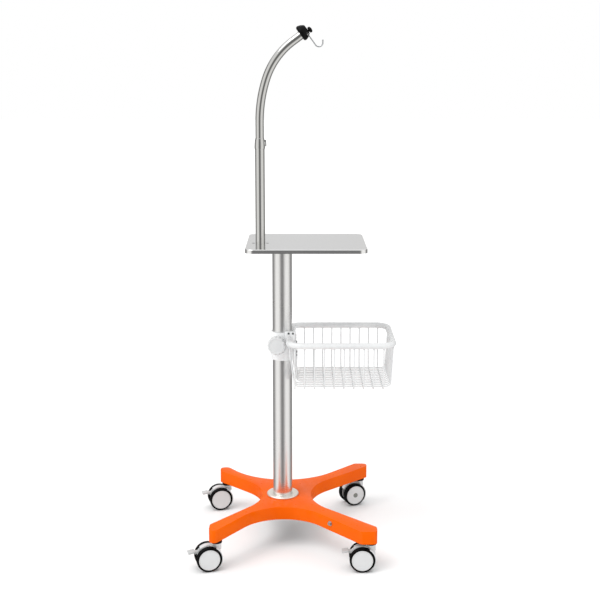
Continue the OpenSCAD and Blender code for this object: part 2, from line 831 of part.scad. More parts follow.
module pedal(i) {
    tip_z = 62;
    arm_w = web_t - 3.6;
    hub_r = 4.6;
    color(grey) at_caster(i) difference() {
        union() {
            translate([-pedal_reach + 5 * sin(8), -pedal_w / 2, tip_z - 8]) rotate([0, -8, 0])
                cube([20, pedal_w, 5]);
            translate([pedal_pin[0], 0, pedal_pin[1]]) rotate([90, 0, 0])
                cylinder(r = hub_r, h = arm_w, center = true);
            translate([20 - pedal_reach, -arm_w / 2, pedal_pin[1] - 2.5])
                cube([pedal_reach - 20 + pedal_pin[0], arm_w, 7]);
        }
        translate([pedal_pin[0], 0, pedal_pin[1]]) rotate([90, 0, 0])
            cylinder(r = 2 + run_fit, h = 40, center = true);
        at_axle() linear_extrude(4.4, center = true) circle(wheel_r + 2.5);
    }
}

base_shell();
base_cover();
cover_screws();
column_plate();
column_flange();
column_bolts();
column_tube();
tray_bracket();
tray_nuts();
tray();
arm_foot();
arm_foot_screws();
arm_lower_tube();
arm_collar();
ground_screw();
caster_stems();
arm_bush();
arm_upper_tube();
arm_cap();
cap_knob();
cable_hook();
collar_lever();
clamp_liner();
clamp_body();
clamp_screws();
clamp_knob();
basket_rim();
basket_hanger();
basket_front_wires();
basket_back_wires();
basket_left_wires();
basket_right_wires();
basket_floor_wires();
for (i = [0:3]) {
    caster_housing(i);
    caster_axle(i);
    tyre(i, 1);
    tyre(i, -1);
    hub(i, 1);
    hub(i, -1);
}
for (i = [0:2]) pedal(i);
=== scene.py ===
"""Looks of the wheeled roll stand: materials, detailed pieces, studio light and camera."""

import json
import math

import bmesh
import bpy
from mathutils import Matrix, Vector

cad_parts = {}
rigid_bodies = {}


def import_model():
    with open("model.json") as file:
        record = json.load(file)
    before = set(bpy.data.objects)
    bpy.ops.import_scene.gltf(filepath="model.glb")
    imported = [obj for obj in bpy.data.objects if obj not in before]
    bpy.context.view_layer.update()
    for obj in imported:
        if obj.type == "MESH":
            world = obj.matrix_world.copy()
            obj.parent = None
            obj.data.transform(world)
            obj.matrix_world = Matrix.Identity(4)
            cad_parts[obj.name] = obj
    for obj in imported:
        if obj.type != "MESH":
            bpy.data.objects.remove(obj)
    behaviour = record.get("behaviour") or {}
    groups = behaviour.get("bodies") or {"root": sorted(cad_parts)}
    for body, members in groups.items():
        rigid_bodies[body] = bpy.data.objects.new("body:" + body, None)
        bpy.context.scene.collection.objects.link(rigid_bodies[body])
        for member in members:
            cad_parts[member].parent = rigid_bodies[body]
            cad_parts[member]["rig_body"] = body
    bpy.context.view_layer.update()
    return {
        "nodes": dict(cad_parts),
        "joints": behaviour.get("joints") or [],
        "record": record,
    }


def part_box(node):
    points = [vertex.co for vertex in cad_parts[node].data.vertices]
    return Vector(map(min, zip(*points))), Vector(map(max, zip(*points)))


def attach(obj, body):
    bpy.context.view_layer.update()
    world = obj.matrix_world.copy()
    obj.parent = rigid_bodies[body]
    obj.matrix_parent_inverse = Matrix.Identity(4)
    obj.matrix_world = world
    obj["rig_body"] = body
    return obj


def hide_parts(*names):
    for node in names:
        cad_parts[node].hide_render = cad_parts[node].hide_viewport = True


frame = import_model()
nodes = frame["nodes"]
joints = {j["name"]: j for j in frame["joints"]}
slot_of = {part["node"]: part["material_slot"] for part in frame["record"]["subparts"]}
body_of = {name: obj["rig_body"] for name, obj in nodes.items()}

CORNERS = ("fl", "fr", "bl", "br")
UP = Vector((0.0, 0.0, 1.0))


def middle(node):
    lo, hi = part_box(node)
    return (lo + hi) / 2


def joint_place(name):
    """Where a joint's axis is, and its direction."""
    joint = joints[name]
    return Vector(joint["pos_m"]), Vector(joint["axis"]).normalized()


def along(node, origin, axis):
    """Distances of a CAD node's corners from the origin, measured along the axis."""
    return [(v.co - origin).dot(axis) for v in nodes[node].data.vertices]


# ---------------------------------------------------------------- materials

class Shader:
    """A node material: one Principled shader, and helpers that add texture nodes to it."""

    def __init__(self, name):
        self.mat = bpy.data.materials.new(name)
        self.mat.use_nodes = True
        self.tree = self.mat.node_tree
        self.bsdf = self.tree.nodes["Principled BSDF"]
        self.coord = self.tree.nodes.new("ShaderNodeTexCoord").outputs["Object"]

    def put(self, **values):
        for key, value in values.items():
            self.bsdf.inputs[key.replace("_", " ")].default_value = value
        return self

    def feed(self, key, output):
        self.tree.links.new(output, self.bsdf.inputs[key])
        return self

    def node(self, kind, **links):
        n = self.tree.nodes.new(kind)
        for key, value in links.items():
            socket = n.inputs[key.replace("_", " ")]
            if isinstance(value, bpy.types.NodeSocket):
                self.tree.links.new(value, socket)
            else:
                socket.default_value = value
        return n

    def stretched(self, scale):
        n = self.node("ShaderNodeMapping", Vector=self.coord)
        n.inputs["Scale"].default_value = scale
        return n.outputs["Vector"]

    def noise(self, scale, detail=3.0, vector=None, roughness=0.5):
        n = self.node("ShaderNodeTexNoise", Vector=vector or self.coord)
        n.inputs["Scale"].default_value = scale
        n.inputs["Detail"].default_value = detail
        n.inputs["Roughness"].default_value = roughness
        return n.outputs["Fac"]

    def spread(self, value, low, high, from_low=0.3, from_high=0.7):
        """Maps a texture's usual span to low..high."""
        n = self.node("ShaderNodeMapRange", Value=value)
        n.inputs["From Min"].default_value = from_low
        n.inputs["From Max"].default_value = from_high
        n.inputs["To Min"].default_value = low
        n.inputs["To Max"].default_value = high
        return n.outputs["Result"]

    def blend(self, factor, dark, light):
        n = self.tree.nodes.new("ShaderNodeMix")
        n.data_type = "RGBA"
        for socket, value in ((n.inputs[0], factor), (n.inputs[6], dark), (n.inputs[7], light)):
            if isinstance(value, bpy.types.NodeSocket):
                self.tree.links.new(value, socket)
            else:
                socket.default_value = value
        return n.outputs[2]

    def bump(self, height, distance, strength=1.0):
        n = self.node("ShaderNodeBump", Height=height)
        n.inputs["Distance"].default_value = distance
        n.inputs["Strength"].default_value = strength
        return n.outputs["Normal"]

    def edges(self, radius):
        """1 where the surface turns within the radius, 0 on flat or gently curved ground."""
        soft = self.node("ShaderNodeBevel")
        soft.samples = 4
        soft.inputs["Radius"].default_value = radius
        plain = self.tree.nodes.new("ShaderNodeNewGeometry").outputs["Normal"]
        dot = self.tree.nodes.new("ShaderNodeVectorMath")
        dot.operation = "DOT_PRODUCT"
        self.tree.links.new(soft.outputs["Normal"], dot.inputs[0])
        self.tree.links.new(plain, dot.inputs[1])
        return self.spread(dot.outputs["Value"], 1.0, 0.0, 0.80, 0.985)


def rgb(r, g, b):
    """An sRGB colour in 0..255 as linear RGBA."""
    def linear(c):
        c /= 255.0
        return c / 12.92 if c <= 0.04045 else ((c + 0.055) / 1.055) ** 2.4
    return (linear(r), linear(g), linear(b), 1.0)


def scaled(colour, factor):
    return tuple(c * factor for c in colour[:3]) + (1.0,)


def paint():
    s = Shader("orange_powder_coat")
    s.put(IOR=1.45, Specular_IOR_Level=0.05, Coat_Weight=0.10, Coat_Roughness=0.05)
    cloud = s.noise(7.0, 4.0)
    s.feed("Base Color", s.blend(s.spread(cloud, 0.0, 1.0), rgb(232, 90, 0), rgb(240, 100, 0)))
    s.feed("Roughness", s.spread(s.noise(60.0, 5.0), 0.26, 0.38))
    return s.feed("Normal", s.bump(s.noise(420.0, 2.0), 0.00006, 0.25)).mat


def brushed(name, tone, grain, rough=(0.24, 0.33), depth=0.000006, anisotropy=0.3):
    """Metal with a fine grain: the grain runs across the axis with the large scale."""
    s = Shader(name).put(Metallic=1.0, Anisotropic=anisotropy)
    line = s.noise(1.0, 4.0, s.stretched(grain), 0.6)
    cloud = s.noise(9.0, 3.0)
    s.feed("Base Color", s.blend(s.spread(line, 0.0, 1.0), scaled(tone, 0.94), tone))
    both = s.node("ShaderNodeMath")
    both.operation = "MULTIPLY_ADD"
    s.tree.links.new(line, both.inputs[0])
    both.inputs[1].default_value = 0.6
    s.tree.links.new(cloud, both.inputs[2])
    s.feed("Roughness", s.spread(both.outputs[0], rough[0], rough[1], 0.55, 1.05))
    return s.feed("Normal", s.bump(line, depth)).mat


def zinc():
    s = Shader("zinc_plate").put(Metallic=1.0)
    cell = s.node("ShaderNodeTexVoronoi", Vector=s.coord)
    cell.inputs["Scale"].default_value = 380.0
    s.feed("Base Color", s.blend(cell.outputs["Distance"], rgb(172, 176, 180), rgb(208, 210, 212)))
    s.feed("Roughness", s.spread(s.noise(140.0), 0.22, 0.40))
    return s.feed("Normal", s.bump(s.noise(900.0), 0.00002)).mat


def turned(name, tone, rough):
    s = Shader(name).put(Metallic=1.0)
    s.feed("Base Color", s.blend(s.spread(s.noise(160.0), 0.0, 1.0), tone, scaled(tone, 1.25)))
    s.feed("Roughness", s.spread(s.noise(300.0), rough - 0.06, rough + 0.08))
    return s.feed("Normal", s.bump(s.noise(700.0), 0.00003)).mat


def moulded(name, dark, light, rough, grain=900.0, depth=0.00004, coat=0.0, painted_edge_highlight=None, gloss=0.4):
    """Moulded plastic or plastic coating: faint clouds, a fine spark grain and, where an edge colour is
    given, a painted highlight along the edges.
    """
    s = Shader(name).put(Coat_Weight=coat, Coat_Roughness=0.12, IOR=1.48, Specular_IOR_Level=gloss)
    colour = s.blend(s.spread(s.noise(18.0, 4.0), 0.0, 1.0), dark, light)
    # painted highlight: the lighter edge colour is blended over the body colour where the surface turns
    if painted_edge_highlight:
        colour = s.blend(s.spread(s.edges(0.0009), 0.0, 0.4, 0.0, 1.0), colour, painted_edge_highlight)
    s.feed("Base Color", colour)
    s.feed("Roughness", s.spread(s.noise(85.0, 4.0), rough - 0.05, rough + 0.07))
    return s.feed("Normal", s.bump(s.noise(grain, 2.0), depth, 0.6)).mat


def rubber():
    s = Shader("tyre_rubber").put(IOR=1.45, Specular_IOR_Level=0.08)
    dust = s.spread(s.noise(45.0, 5.0), 0.0, 1.0, 0.42, 0.72)
    s.feed("Base Color", s.blend(dust, rgb(7, 7, 8), rgb(16, 16, 17)))
    s.feed("Roughness", s.spread(s.noise(120.0, 4.0), 0.42, 0.6))
    return s.feed("Normal", s.bump(s.noise(1500.0, 2.0), 0.00004, 0.6)).mat


STEEL = (0.815, 0.815, 0.815, 1.0)
ARM_TONE = (0.60, 0.60, 0.59, 1.0)
FLANGE_TONE = (0.88, 0.83, 0.77, 1.0)
TUBE_GRAIN = (40.0, 40.0, 2600.0)
# the edge colours given to the mouldings are painted edge highlights, lighter than their body colours
materials = {
    "base_paint": paint(),
    "dark_cover": moulded("black_plate", rgb(28, 28, 30), rgb(44, 44, 46), 0.5),
    "stainless_steel": brushed("stainless_tube", STEEL, (30.0, 30.0, 2600.0), (0.26, 0.31), 0.000001),
    "arm_steel": brushed("polished_tube", ARM_TONE, TUBE_GRAIN, (0.07, 0.12), 0.000001, 0.0),
    "tray_steel": brushed("stainless_sheet", STEEL, (30.0, 1600.0, 1600.0), (0.13, 0.2), 0.000002, 0.0),
    "flange_steel": brushed(
        "machined_flange", FLANGE_TONE, (900.0, 900.0, 40.0), (0.42, 0.52), 0.000002, 0.0,
    ),
    "zinc_steel": zinc(),
    "dark_screw": turned("blackened_steel", rgb(46, 47, 50), 0.34),
    "black_plastic": moulded(
        "black_moulding", rgb(3, 3, 4), rgb(8, 8, 9), 0.4, painted_edge_highlight=rgb(34, 34, 36), gloss=0.12,
    ),
    "liner_plastic": moulded("bearing_plastic", rgb(198, 199, 200), rgb(214, 215, 215), 0.38),
    "white_plastic": moulded(
        "white_moulding", rgb(232, 233, 234), rgb(238, 239, 239), 0.36, painted_edge_highlight=rgb(234, 234, 234),
    ),
    "white_coating": moulded(
        "white_dip_coating", rgb(216, 217, 218), rgb(225, 226, 226), 0.26, 260.0, 0.00005, 0.3,
    ),
    "caster_housing": moulded(
        "caster_nylon", rgb(208, 209, 210), rgb(217, 218, 219), 0.32, painted_edge_highlight=rgb(232, 232, 232),
    ),
    "axle_steel": turned("bright_axle", rgb(165, 167, 170), 0.25),
    "tyre_rubber": rubber(),
    "wheel_cover": moulded(
        "cover_plastic", rgb(208, 209, 210), rgb(215, 216, 216), 0.33, painted_edge_highlight=rgb(232, 232, 232),
    ),
    "pedal_plastic": moulded(
        "pedal_moulding", rgb(184, 186, 186), rgb(196, 197, 197), 0.42, painted_edge_highlight=rgb(218, 218, 218),
    ),
    "knob_plastic": moulded(
        "knob_moulding", rgb(202, 203, 204), rgb(209, 210, 210), 0.4, painted_edge_highlight=rgb(222, 222, 222),
    ),
    "hub_cap": moulded("hub_cap_grey", rgb(116, 118, 112), rgb(132, 134, 128), 0.35),
    "cover_ring": moulded("cover_ring_plastic", rgb(206, 206, 206), rgb(214, 214, 214), 0.22, coat=0.3),
}
looks = {
    "tray": "tray_steel", "tray_bracket": "tray_steel", "arm_foot": "tray_steel",
    "arm_lower_tube": "arm_steel", "arm_upper_tube": "arm_steel",
}
for name, obj in nodes.items():
    obj.data.materials.clear()
    obj.data.materials.append(materials[looks.get(name, slot_of[name])])


# ------------------------------------------------------------------- pieces

def add_object(name, mesh):
    obj = bpy.data.objects.new(name, mesh)
    bpy.context.scene.collection.objects.link(obj)
    return obj


def hand_in(obj, body, slot, *stands_for, look=None):
    """Gives a piece its look (the slot's material unless look is given), puts it on its body and hides the
    CAD nodes that it stands for.
    """
    obj.data.materials.clear()
    obj.data.materials.append(materials[look or slot])
    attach(obj, body)
    if stands_for:
        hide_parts(*stands_for)
    return obj


def softened(node, width, segments=2, angle=30.0, look=None):
    """A copy of a CAD node with its sharp edges rounded."""
    bm = bmesh.new()
    bm.from_mesh(nodes[node].data)
    bmesh.ops.remove_doubles(bm, verts=bm.verts, dist=2e-6)
    bmesh.ops.dissolve_limit(
        bm, angle_limit=math.radians(0.4), verts=bm.verts, edges=bm.edges, use_dissolve_boundaries=False
    )
    for face in bm.faces:
        face.smooth = True
    mesh = bpy.data.meshes.new(node + "_soft")
    bm.to_mesh(mesh)
    bm.free()
    obj = add_object(node + "_soft", mesh)
    bevel = obj.modifiers.new("edges", "BEVEL")
    bevel.width = width
    bevel.segments = segments
    bevel.limit_method = "ANGLE"
    bevel.angle_limit = math.radians(angle)
    bevel.harden_normals = True
    bevel.miter_outer = "MITER_ARC"
    return hand_in(obj, body_of[node], slot_of[node], node, look=look)


def facing(origin, axis, side=None):
    """Matrix of a local frame: +Z along the axis, +X along side as far as it can be."""
    z = axis.normalized()
    helper = side or (UP if abs(z.z) < 0.9 else Vector((1.0, 0.0, 0.0)))
    x = (helper - helper.dot(z) * z).normalized()
    y = z.cross(x)
    m = Matrix((x, y, z)).transposed().to_4x4()
    m.translation = origin
    return m


def lathe_mesh(bm, profile, place, steps=96, wave=None):
    """Turns (radius, height) points about local Z; wave(angle, radius, height) changes the radius."""
    rings = []
    for k in range(steps):
        a = 2 * math.pi * k / steps
        ring = []
        for r, h in profile:
            rr = wave(a, r, h) if wave else r
            ring.append(bm.verts.new(place @ Vector((rr * math.cos(a), rr * math.sin(a), h))))
        rings.append(ring)
    for k in range(steps):
        this, after = rings[k], rings[(k + 1) % steps]
        for i in range(len(profile) - 1):
            bm.faces.new((this[i], after[i], after[i + 1], this[i + 1])).smooth = True


def close_poles(bm):
    bmesh.ops.remove_doubles(bm, verts=bm.verts, dist=1e-6)
    bmesh.ops.dissolve_degenerate(bm, dist=1e-7, edges=bm.edges)
    bmesh.ops.recalc_face_normals(bm, faces=bm.faces)


def round_profile(points, radius=0.0006, steps=3):
    """Rounds each inner corner of a (radius, height) profile with a short arc."""
    out = [points[0]]
    for before, here, after in zip(points, points[1:], points[2:]):
        p, a, b = Vector(here), Vector(before), Vector(after)
        cut = min(radius, (a - p).length * 0.45, (b - p).length * 0.45)
        start = p + (a - p).normalized() * cut
        end = p + (b - p).normalized() * cut
        for k in range(steps + 1):
            t = k / steps
            out.append(tuple(start.lerp(p, t).lerp(p.lerp(end, t), t)))
    out.append(points[-1])
    return out


def turned_piece(name, profile, place, steps=96, wave=None):
    bm = bmesh.new()
    lathe_mesh(bm, profile, place, steps, wave)
    close_poles(bm)
    mesh = bpy.data.meshes.new(name)
    bm.to_mesh(mesh)
    bm.free()
    return add_object(name, mesh)


END_FIRST = 0.42
END_SECOND = 0.78
END_DEPTH = 0.28


def sweep(bm, points, radius, sides=14, cap=True):
    """A round wire along the points; with cap its two ends are rounded."""
    pts = [Vector(p) for p in points]
    tangents = []
    for i in range(len(pts)):
        ahead = pts[min(i + 1, len(pts) - 1)]
        back = pts[max(i - 1, 0)]
        tangents.append((ahead - back).normalized())
    side = tangents[0].orthogonal().normalized()
    loops = []
    for p, t in zip(pts, tangents):
        side = (side - side.dot(t) * t).normalized()
        loops.append((p, side.copy(), t.cross(side), radius))
    if cap:
        p, s, o, r = loops[0]
        start = [(p, s, o, r * END_FIRST), (p + tangents[0] * r * END_DEPTH, s, o, r * END_SECOND)]
        p, s, o, r = loops[-1]
        end = [(p - tangents[-1] * r * END_DEPTH, s, o, r * END_SECOND), (p, s, o, r * END_FIRST)]
        loops = start + loops[1:-1] + end
    turn = [2 * math.pi * k / sides for k in range(sides)]
    made = []
    for p, s, o, r in loops:
        made.append([bm.verts.new(p + r * (math.cos(a) * s + math.sin(a) * o)) for a in turn])
    for a, b in zip(made, made[1:]):
        for k in range(sides):
            bm.faces.new((a[k], a[(k + 1) % sides], b[(k + 1) % sides], b[k])).smooth = True
    bm.faces.new(reversed(made[0])).smooth = True
    bm.faces.new(made[-1]).smooth = True


def mesh_piece(name, build):
    bm = bmesh.new()
    build(bm)
    bmesh.ops.recalc_face_normals(bm, faces=bm.faces)
    mesh = bpy.data.meshes.new(name)
    bm.to_mesh(mesh)
    bm.free()
    return add_object(name, mesh)


def arc(centre, a, b, start, end, steps=8):
    """Points on an arc: centre + cos * a + sin * b, angles in degrees."""
    out = []
    for k in range(steps + 1):
        t = math.radians(start + (end - start) * k / steps)
        out.append(centre + math.cos(t) * a + math.sin(t) * b)
    return out


column = middle("column_tube")
column.z = 0.0

# base, flange, clamp, hanger, collar, lever, caster housings and pedals with rounded edges
softened("base_shell", 0.0032, 3, 40.0)
softened("column_flange", 0.0012, 3, look="flange_steel")
softened("clamp_body", 0.0012, 2)
softened("basket_hanger", 0.0005, 2)
softened("arm_collar", 0.0003, 2, look="arm_steel")
softened("collar_lever", 0.0005, 2, look="arm_steel")
for c in CORNERS:
    softened("housing_" + c, 0.0006, 2, 34.0)
    if "pedal_" + c in nodes:
        softened("pedal_" + c, 0.0014, 3)


# ------------------------------------------------------------------ casters

tyre_lo, tyre_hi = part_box("tyre_near_fr")
WHEEL_R = (tyre_hi.z - tyre_lo.z) / 2


def wheel(kind, corner, capped):
    centre, axis = joint_place("roll_" + kind + "_" + corner)
    tyre, hub = "tyre_" + kind + "_" + corner, "hub_" + kind + "_" + corner
    out = axis if axis.dot(middle(tyre) - centre) > 0 else -axis
    place = facing(centre, out)
    face = max(along(hub, centre, out))
    tyre_out = max(along(tyre, centre, out))
    tyre_in = min(along(tyre, centre, out))
    r = WHEEL_R
    spans = [v.co - centre for v in nodes[tyre].data.vertices]
    bead = min((s - s.dot(out) * out).length for s in spans)
    rim = bead - 0.00005
    mid = (tyre_out + tyre_in) / 2
    profile = round_profile([
        (bead, tyre_in), (r - 0.0030, tyre_in), (r - 0.0009, tyre_in + 0.0016), (r, tyre_in + 0.0044),
        (r, mid - 0.0032), (r - 0.0007, mid - 0.0026), (r - 0.0007, mid + 0.0026), (r, mid + 0.0032),
        (r, tyre_out - 0.0044), (r - 0.0009, tyre_out - 0.0016), (r - 0.0030, tyre_out),
        (bead + 0.0016, tyre_out), (bead + 0.0012, tyre_out - 0.0005), (bead, tyre_out - 0.0005),
        (bead, tyre_in),
    ], 0.0009)
    obj = turned_piece("tread_" + kind + "_" + corner, profile, place)
    hand_in(obj, body_of[tyre], "tyre_rubber", tyre)

    dish = face - 0.0011
    web = face - 0.0030
    bore = 0.0041
    cover = [
        (bore, web), (bore, tyre_in - 0.0006), (0.0090, tyre_in - 0.0006), (0.0090, web),
        (rim - 0.0030, web), (rim - 0.0030, tyre_in + 0.0010), (rim, tyre_in + 0.0010), (rim, face - 0.0014),
        (rim - 0.0009, face - 0.0004), (rim - 0.0023, face - 0.0004), (rim - 0.0031, dish),
    ]
    # shallow dish with a step, slightly domed towards the middle
    disc = [
        (rim - 0.0040, dish), (rim - 0.0052, dish + 0.0003), (0.0150, dish + 0.00055), (0.0, dish + 0.0007),
    ]
    obj = turned_piece("cover_" + kind + "_" + corner, round_profile(cover + disc, 0.0004), place)
    hand_in(obj, body_of[hub], "wheel_cover", hub)

    ring = [
        (rim - 0.0032, face - 0.0009), (rim - 0.0026, face - 0.0002), (rim - 0.0012, face - 0.0002),
        (rim - 0.0003, face - 0.0010), (rim - 0.0006, face - 0.0016), (rim - 0.0030, face - 0.0014),
        (rim - 0.0032, face - 0.0009),
    ]
    obj = turned_piece("ring_" + kind + "_" + corner, round_profile(ring, 0.0002, 2), place)
    hand_in(obj, body_of[hub], "wheel_cover", look="cover_ring")
    if capped:
        cap = [(0.0082, dish + 0.0003), (0.0080, face - 0.0004), (0.0066, face - 0.00005), (0.0, face)]
        obj = turned_piece("hub_cap_" + kind + "_" + corner, round_profile(cap, 0.0004), place, 48)
        hand_in(obj, body_of[hub], "wheel_cover", look="hub_cap")


for c in CORNERS:
    for kind in ("near", "far"):
        wheel(kind, c, c == "br")
    # dark dust ring round the swivel head
    centre, axis = joint_place("swivel_" + c)
    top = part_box("housing_" + c)[1].z
    head = [
        (0.0151, -0.0090), (0.0165, -0.0086), (0.0168, -0.0060), (0.0168, -0.0008), (0.0160, 0.0),
        (0.0098, 0.0002), (0.0098, -0.0040),
    ]
    place = Matrix.Translation(Vector((centre.x, centre.y, top)))
    obj = turned_piece("swivel_ring_" + c, round_profile(head, 0.0005), place, 64)
    hand_in(obj, body_of["housing_" + c], "black_plastic")


# ---------------------------------------------------------------------- arm

# ARM_DIR points out of the arm's end, ARM_DOWN down and out across it
KNOB_AT, ARM_DIR = joint_place("cap_knob_turn")
if ARM_DIR.x < 0:
    ARM_DIR = -ARM_DIR
ARM_DOWN = Vector((ARM_DIR.z, 0.0, -ARM_DIR.x))
softened("arm_cap", 0.0009, 3, 30.0)


GRIPS = 12
GRIP_DEPTH = 0.0005
SHANK = 0.0105


def knob_flutes(a, r, h):
    """Shallow finger grips round the knob's head, none on its shank."""
    if r < 0.0075 or h < 0.0005:
        return r
    return r - GRIP_DEPTH * (0.5 + 0.5 * math.cos(GRIPS * a))


knob_lo = min(along("cap_knob", KNOB_AT, ARM_DIR))
knob_place = facing(KNOB_AT + (knob_lo + SHANK) * ARM_DIR, ARM_DIR, ARM_DOWN)
knob_profile = [
    (0.0, -SHANK), (0.0030, -SHANK), (0.0030, 0.0003), (0.0060, 0.0004), (0.0086, 0.0019),
    (0.0095, 0.0045),
    (0.0092, 0.0069), (0.0074, 0.0091), (0.0040, 0.0103), (0.0, 0.0107),
]
knob = turned_piece("cap_knob_body", round_profile(knob_profile, 0.0008, 3), knob_place, 96, knob_flutes)
hand_in(knob, body_of["cap_knob"], "black_plastic", "cap_knob")

# hook: one bent wire with its eye, leg, part turn, short tail and a small ball at the end
HOOK_R = 0.0018
HOOK_EYE = 0.0050
HOOK_LEG = 0.045
HOOK_TURN = 0.0115
HOOK_BEND = 144
HOOK_TAIL = 0.007
HOOK_BALL = 0.0022
hook_at = joint_place("hook_swing")[0]
hook_out = ARM_DOWN.normalized()
hook_side = ARM_DIR.cross(hook_out)


def hook_wire(bm):
    eye = arc(hook_at, HOOK_EYE * hook_out, HOOK_EYE * hook_side, 8, 352, 40)
    sweep(bm, eye, HOOK_R, 16)
    tip = hook_at + HOOK_LEG * hook_out
    straight = HOOK_LEG - HOOK_EYE
    leg = [hook_at + hook_out * (HOOK_EYE - 0.0004)]
    leg += [hook_at + hook_out * (HOOK_EYE + straight * k / 6) for k in range(1, 6)]
    turn = arc(tip + HOOK_TURN * ARM_DIR, -HOOK_TURN * ARM_DIR, HOOK_TURN * hook_out, 0, HOOK_BEND, 24)
    end = math.radians(HOOK_BEND)
    onward = math.sin(end) * ARM_DIR + math.cos(end) * hook_out
    tail = [turn[-1] + onward * HOOK_TAIL * k / 4 for k in range(1, 5)]
    sweep(bm, leg + turn + tail, HOOK_R, 16)
    ball = bmesh.ops.create_uvsphere(bm, u_segments=20, v_segments=12, radius=HOOK_BALL)
    bmesh.ops.translate(bm, verts=ball["verts"], vec=tail[-1])
    for v in ball["verts"]:
        for f in v.link_faces:
            f.smooth = True


obj = mesh_piece("cable_hook_wire", hook_wire)
hand_in(obj, body_of["cable_hook"], slot_of["cable_hook"], "cable_hook")


# ------------------------------------------------------------- basket clamp

knob_at = joint_place("clamp_knob_turn")[0]
outward = middle("clamp_knob") - column
outward.z = 0.0
outward.normalize()
knob_end = max(along("clamp_knob", knob_at, outward))
clamp_knob_lo, clamp_knob_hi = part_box("clamp_knob")
KNOB_R = (clamp_knob_hi.z - clamp_knob_lo.z) / 2
KNOB_H = 0.017
KNOB_GRIPS = 14
KNOB_BITE = 0.0026


def star_flutes(a, r, h):
    """Round finger grips on the rim of the knob."""
    start = KNOB_R - 0.007
    if r < start:
        return r
    bite = max(0.0, math.cos(KNOB_GRIPS * a)) ** 1.2
    return r - KNOB_BITE * bite * min(1.0, (r - start) / 0.004)


disc_profile = [
    (0.0, -0.0126), (0.0039, -0.0126), (0.0039, 0.0002), (KNOB_R - 0.0045, 0.0), (KNOB_R - 0.001, 0.0012),
    (KNOB_R, 0.0032), (KNOB_R, 0.0126), (KNOB_R - 0.001, 0.0150), (KNOB_R - 0.0034, 0.0162),
    (KNOB_R - 0.0074, 0.0164), (KNOB_R - 0.0088, 0.0152), (0.0140, 0.0150), (0.0, 0.0158),
]
place = facing(knob_at + (knob_end - KNOB_H) * outward, outward)
obj = turned_piece("clamp_knob_body", round_profile(disc_profile, 0.0012, 3), place, 224, star_flutes)
hand_in(obj, body_of["clamp_knob"], "white_plastic", "clamp_knob", look="knob_plastic")


# ------------------------------------------------------------------- basket

rim_lo, rim_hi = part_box("basket_rim")
RIM_R = (rim_hi.z - rim_lo.z) / 2
RIM_Z = (rim_hi.z + rim_lo.z) / 2
rim_y = (rim_hi.y - rim_lo.y) / 2 - RIM_R
rim_mid_y = (rim_hi.y + rim_lo.y) / 2
floor_lo, floor_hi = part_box("basket_floor_wires")
front_lo, front_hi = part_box("basket_front_wires")
WIRE_R = 0.002
WIRE_BEND = 0.014
WALL_LEAN = 0.006
ACROSS = 10
ALONG = 12
HANG_HALF = 0.050
lower_z = floor_lo.z + WIRE_R
upper_z = floor_hi.z - WIRE_R
weld_z = front_hi.z - 0.0006
left_rim_x = rim_lo.x + RIM_R
right_rim_x = rim_hi.x - RIM_R
right_lo, right_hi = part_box("basket_right_wires")
HANGER_UP = 0.012
HANGER_LEAN = -0.0018
LEFT_WALL = 0.036
HANGER_WALL = 0.043
hanger_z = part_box("basket_hanger")[0].z


def evenly(low, high, count):
    """Centre lines of a row of wires whose outsides lie at low and high."""
    span = high - low - 2 * WIRE_R
    return [low + WIRE_R + span * i / (count - 1) for i in range(count)]


across_x = evenly(front_lo.x, front_hi.x, ACROSS)
along_y = evenly(right_lo.y, right_hi.y, ALONG)


def wall_run(foot, top_z, lean, inward, low):
    """From the rim down the leaning wall and round the bend: foot is the wall line at floor level."""
    start = foot + UP * (top_z - low) - inward * lean
    bend_at = foot + UP * WIRE_BEND
    run = [start.lerp(bend_at, k / 5) for k in range(5)]
    centre = bend_at + inward * WIRE_BEND
    run += arc(centre, -inward * WIRE_BEND, -UP * WIRE_BEND, 0, 90, 9)
    return run


def across_wire(bm, x):
    y = Vector((0.0, 1.0, 0.0))
    front = wall_run(Vector((x, rim_mid_y - rim_y + WALL_LEAN, lower_z)), weld_z, WALL_LEAN, y, lower_z)
    back = wall_run(Vector((x, rim_mid_y + rim_y - WALL_LEAN, lower_z)), weld_z, WALL_LEAN, -y, lower_z)
    sweep(bm, front + back[::-1], WIRE_R)


def along_wire(bm, y):
    x = Vector((1.0, 0.0, 0.0))
    foot_x, top, lean = column.x + LEFT_WALL, weld_z, column.x + LEFT_WALL - left_rim_x
    if abs(y - rim_mid_y) < HANG_HALF:
        foot_x, top, lean = column.x + HANGER_WALL, hanger_z + HANGER_UP, HANGER_LEAN
    left = wall_run(Vector((foot_x, y, upper_z)), top, lean, x, upper_z)
    right = wall_run(Vector((right_rim_x - WALL_LEAN, y, upper_z)), weld_z, WALL_LEAN, -x, upper_z)
    sweep(bm, left + right[::-1], WIRE_R)


def wires(bm):
    for x in across_x:
        across_wire(bm, x)
    for y in along_y:
        along_wire(bm, y)


obj = mesh_piece("basket_wires", wires)
hand_in(
    obj, body_of["basket_rim"], "white_coating",
    "basket_front_wires", "basket_back_wires", "basket_left_wires", "basket_right_wires",
    "basket_floor_wires",
)


WELD_R = 0.0027
WELD_HALF = 0.0012
WELD_IN = 0.0003
weld_at = RIM_Z - RIM_R - 0.0002


def bead(bm, x, y):
    spot = Vector((x, y, weld_at))
    sweep(bm, [spot + UP * WELD_HALF * k for k in (1, 0, -1, -2)], WELD_R, cap=False)


def weld_beads(bm):
    """Small fillets where each wire meets the rim."""
    for x in across_x:
        for side in (-1, 1):
            bead(bm, x, rim_mid_y + side * (rim_y - WELD_IN))
    for y in along_y:
        bead(bm, right_rim_x - WELD_IN, y)
        if abs(y - rim_mid_y) >= HANG_HALF:
            bead(bm, left_rim_x + WELD_IN, y)


obj = mesh_piece("basket_welds", weld_beads)
hand_in(obj, body_of["basket_rim"], "white_coating")


# ---------------------------------------------------------------- the stage

